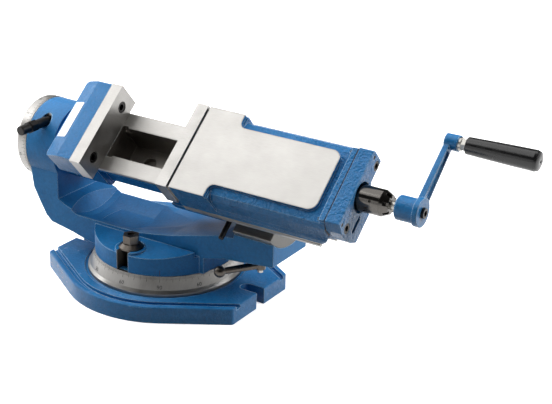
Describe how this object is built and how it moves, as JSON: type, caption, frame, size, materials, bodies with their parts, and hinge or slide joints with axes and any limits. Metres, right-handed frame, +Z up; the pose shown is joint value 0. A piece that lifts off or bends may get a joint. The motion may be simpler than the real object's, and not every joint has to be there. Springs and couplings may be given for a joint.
{
  "type": "machine vise",
  "caption": "Cast machine vise with a booster spindle and crank, rolled sideways on a swivelling turntable base, jaws open.",
  "frame": {"origin": "on the swivel axis, at the underside of the base", "axes": "+X along the vise to the crank, +Y to the back, +Z up"},
  "size_m": [0.8798, 0.334, 0.3458],
  "materials": {
    "base_casting": "blue enamel on cast iron, machined slots",
    "bracket_casting": "blue enamel on cast iron",
    "vise_casting": "blue enamel on cast iron, ground rails",
    "slide_casting": "blue enamel on cast iron, ground top",
    "end_plate_casting": "blue enamel",
    "crank_casting": "blue enamel",
    "jaw_plate_steel": "ground",
    "ring_steel": "turned, graduated",
    "keeper_steel": "ground",
    "turned_steel": "turned",
    "black_oxide": "black oxide",
    "bearing_bronze": "machined bronze",
    "spring_steel": "spring steel",
    "seal_rubber": "matte",
    "label_aluminium": "satin, without marks",
    "grip_plastic": "black, glossy"
  },
  "bodies": {
    "base": {"swivel_base": "base_casting", "swivel_scale_ring": "ring_steel", "pivot_pin": "turned_steel"},
    "bracket": {"swivel_bracket": "bracket_casting", "swivel_t_nuts": "black_oxide", "swivel_clamp_washers": "black_oxide", "swivel_clamp_bolts": "black_oxide", "swivel_lever_screw": "black_oxide", "trunnion_bushes": "bearing_bronze", "tangent_bushes": "turned_steel"},
    "roll_clamp": {"tangent_screw": "black_oxide"},
    "swivel_lock": {"swivel_lever": "turned_steel", "swivel_lever_ball": "grip_plastic"},
    "vise": {"vise_body": "vise_casting", "fixed_jaw_plate": "jaw_plate_steel", "fixed_jaw_screws": "black_oxide", "label_plate": "label_aluminium", "roll_scale_ring": "ring_steel", "roll_end_disc": "turned_steel", "roll_end_screws": "black_oxide", "spindle_nut": "bearing_bronze", "spindle_nut_screws": "black_oxide"},
    "roll_lock": {"roll_lock_screw": "black_oxide", "roll_lock_bar": "black_oxide"},
    "slide": {"slide": "slide_casting", "moving_jaw_plate": "jaw_plate_steel", "moving_jaw_screws": "black_oxide", "keeper_plates": "keeper_steel", "keeper_screws": "black_oxide", "end_plate": "end_plate_casting", "end_plate_screws": "black_oxide", "end_plate_dowels": "turned_steel", "main_piston": "turned_steel", "piston_seal": "seal_rubber"},
    "spindle": {"booster_cylinder": "turned_steel", "booster_cap": "turned_steel", "disc_springs": "spring_steel", "spindle_screw": "turned_steel", "thrust_ring": "turned_steel", "spindle_lock_ring": "turned_steel", "clutch_sleeve": "black_oxide", "sleeve_nose": "black_oxide", "drive_shaft": "turned_steel", "clutch_balls": "turned_steel", "clutch_spring": "spring_steel", "crank": "crank_casting", "crank_screw": "black_oxide", "grip_stud": "turned_steel", "grip_screw": "turned_steel"},
    "primary": {"primary_piston": "turned_steel"},
    "grip": {"grip": "grip_plastic", "grip_end_cap": "grip_plastic"}
  },
  "joints": [
    {"name": "swivel", "type": "hinge", "parent": "base", "child": "bracket", "pos_m": [0, 0, 0.057], "axis": [0, 0, 1], "continuous": true},
    {"name": "roll_clamp_turn", "type": "hinge", "parent": "bracket", "child": "roll_clamp", "pos_m": [-0.21, -0.05, 0.246], "axis": [0, 1, 0], "range_deg": [-120, 0]},
    {"name": "swivel_lock_turn", "type": "hinge", "parent": "bracket", "child": "swivel_lock", "pos_m": [0.192, -0.01, 0.079], "axis": [0, 0, 1], "range_deg": [-20, 20]},
    {"name": "roll", "type": "hinge", "parent": "bracket", "child": "vise", "pos_m": [0, 0, 0.199], "axis": [1, 0, 0], "range_deg": [-41, 4]},
    {"name": "roll_lock_turn", "type": "hinge", "parent": "vise", "child": "roll_lock", "pos_m": [0.157, -0.03925, 0.16489], "axis": [1, 0, 0], "range_deg": [-20, 12]},
    {"name": "slide_travel", "type": "slide", "parent": "vise", "child": "slide", "axis": [1, 0, 0], "range_m": [-0.1475, 0.035]},
    {"name": "spindle_turn", "type": "hinge", "parent": "slide", "child": "spindle", "pos_m": [0.3, -0.04592, 0.25183], "axis": [1, 0, 0], "continuous": true},
    {"name": "booster_stroke", "type": "slide", "parent": "spindle", "child": "primary", "axis": [1, 0, 0], "range_m": [-0.005, 0]},
    {"name": "grip_turn", "type": "hinge", "parent": "spindle", "child": "grip", "pos_m": [0.55, 0.04426, 0.33023], "axis": [1, 0, 0], "continuous": true}
  ],
  "couplings": [
    {"joint": "spindle_turn", "follows": "slide_travel", "rad_per_m": 1256.6}
  ]
}
